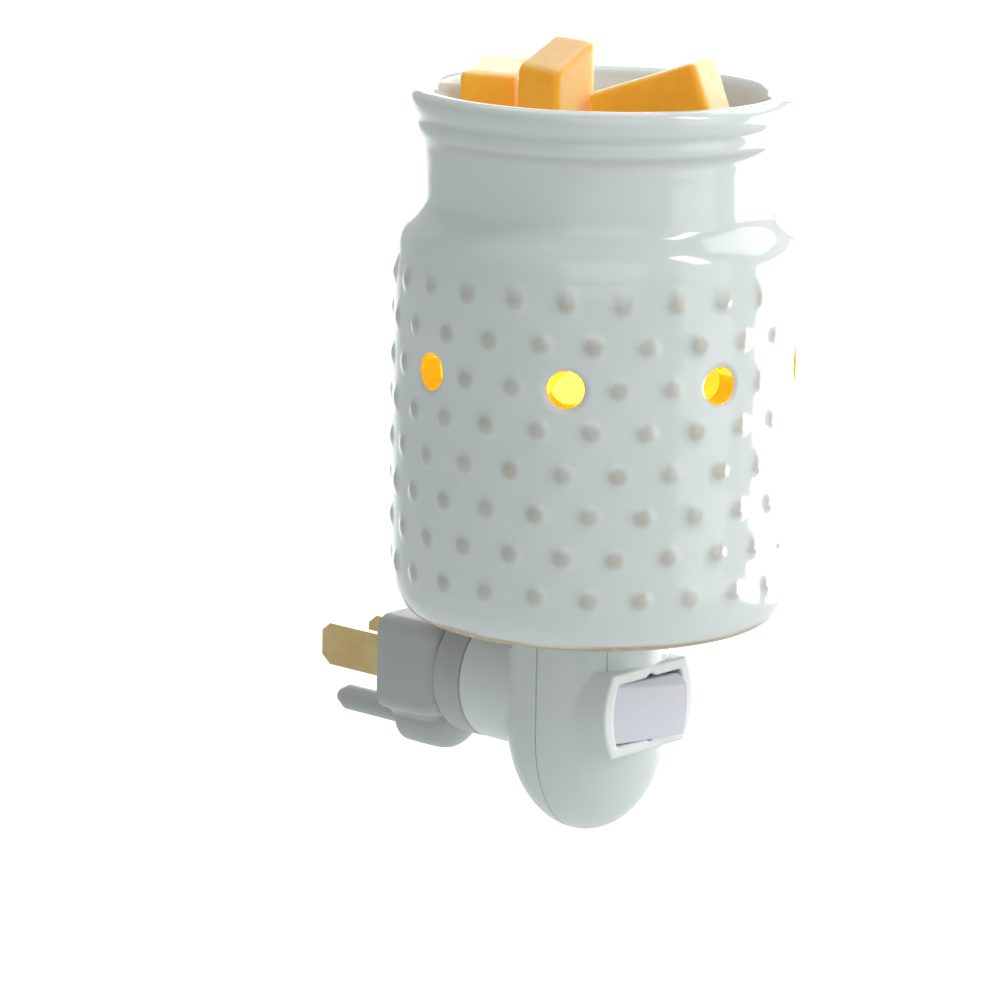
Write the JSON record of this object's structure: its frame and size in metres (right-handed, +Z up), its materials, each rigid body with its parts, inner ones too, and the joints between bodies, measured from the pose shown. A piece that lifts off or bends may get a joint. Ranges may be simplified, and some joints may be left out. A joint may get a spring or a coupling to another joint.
{
  "type": "plug-in wax melt warmer",
  "caption": "Ceramic wax melt warmer with a hobnail lantern jar and integral dish, carried by a swivel wall plug with a bulb socket and a rocker switch.",
  "frame": {"origin": "middle of the plug's rear face, midway between the two blades, where it meets the outlet", "axes": "+Y into the wall along the blades, +Z up along the jar, -Y the front, where the switch faces the room"},
  "size_m": [0.0718, 0.0967, 0.1443],
  "materials": {
    "jar_glaze": "glossy pale blue-white glaze, thinner and buff over the raised bumps",
    "housing_plastic": "moulded white, softly glossy",
    "plug_plastic": "moulded lilac-grey, satin",
    "rocker_plastic": "satin lilac-white",
    "brass": "stamped brass",
    "steel": "plain plated steel",
    "filament": "coiled tungsten",
    "insulator": "moulded heat-resistant plastic",
    "black_insulator": "black moulded",
    "wire_insulation": "sleeved wire",
    "bulb_glass": "clear blown glass",
    "wax": "translucent orange wax melt"
  },
  "bodies": {
    "plug": {"plug_rear_cover": "plug_plastic", "plug_body": "plug_plastic", "blade_line": "brass", "blade_neutral": "brass", "swivel_collar": "plug_plastic", "swivel_retainer": "steel", "slip_ring_outer": "brass", "slip_ring_inner": "brass"},
    "lamp_base": {"housing_rear": "housing_plastic", "housing_front": "housing_plastic", "housing_screw_1": "steel", "housing_screw_2": "steel", "housing_screw_3": "steel", "contact_carrier": "insulator", "contact_finger_line": "brass", "contact_finger_neutral": "brass", "socket_insulator": "insulator", "socket_screw_shell": "brass", "socket_centre_contact": "brass", "jar_seat": "housing_plastic", "jar_clip_1": "steel", "jar_clip_2": "steel", "jar_clip_3": "steel", "wire_line": "wire_insulation", "wire_switched": "wire_insulation", "wire_neutral": "wire_insulation", "switch_body": "black_insulator", "switch_terminal_1": "brass", "switch_terminal_2": "brass"},
    "switch_rocker": {"rocker": "rocker_plastic", "rocker_spring": "steel", "rocker_plunger": "insulator"},
    "switch_contact": {"contact_seesaw": "brass"},
    "bulb": {"bulb_glass": "bulb_glass", "bulb_screw_base": "brass", "bulb_insulator": "black_insulator", "bulb_tip_contact": "steel", "bulb_stem": "bulb_glass", "filament_support_left": "steel", "filament_support_right": "steel", "filament": "filament"},
    "jar": {"jar_body": "jar_glaze", "jar_dish": "jar_glaze"},
    "wax_left": {"wax_left": "wax"},
    "wax_middle": {"wax_middle": "wax"},
    "wax_right": {"wax_right": "wax"}
  },
  "joints": [
    {"name": "plug_swivel", "type": "hinge", "parent": "plug", "child": "lamp_base", "pos_m": [0, -0.021, 0], "axis": [0, 1, 0], "range_deg": [-90, 90]},
    {"name": "rocker_tilt", "type": "hinge", "parent": "lamp_base", "child": "switch_rocker", "pos_m": [0, -0.0536, 0], "axis": [0, 0, 1], "range_deg": [0, 22]},
    {"name": "contact_tilt", "type": "hinge", "parent": "lamp_base", "child": "switch_contact", "pos_m": [0, -0.049, 0], "axis": [0, 0, 1], "range_deg": [-8.8, 0]},
    {"name": "bulb_turn", "type": "hinge", "parent": "lamp_base", "child": "bulb", "pos_m": [0, -0.0418, 0.0135], "axis": [0, 0, 1], "continuous": true},
    {"name": "jar_lift", "type": "slide", "parent": "lamp_base", "child": "jar", "axis": [0, 0, 1], "range_m": [0, 0.07]},
    {"name": "wax_left_lift", "type": "slide", "parent": "jar", "child": "wax_left", "axis": [0, 0, 1], "range_m": [0, 0.04]},
    {"name": "wax_middle_lift", "type": "slide", "parent": "jar", "child": "wax_middle", "axis": [0, 0, 1], "range_m": [0, 0.04]},
    {"name": "wax_right_lift", "type": "slide", "parent": "jar", "child": "wax_right", "axis": [0, 0, 1], "range_m": [0, 0.04]}
  ],
  "couplings": [
    {"joint": "contact_tilt", "follows": "rocker_tilt", "ratio": -0.4}
  ]
}
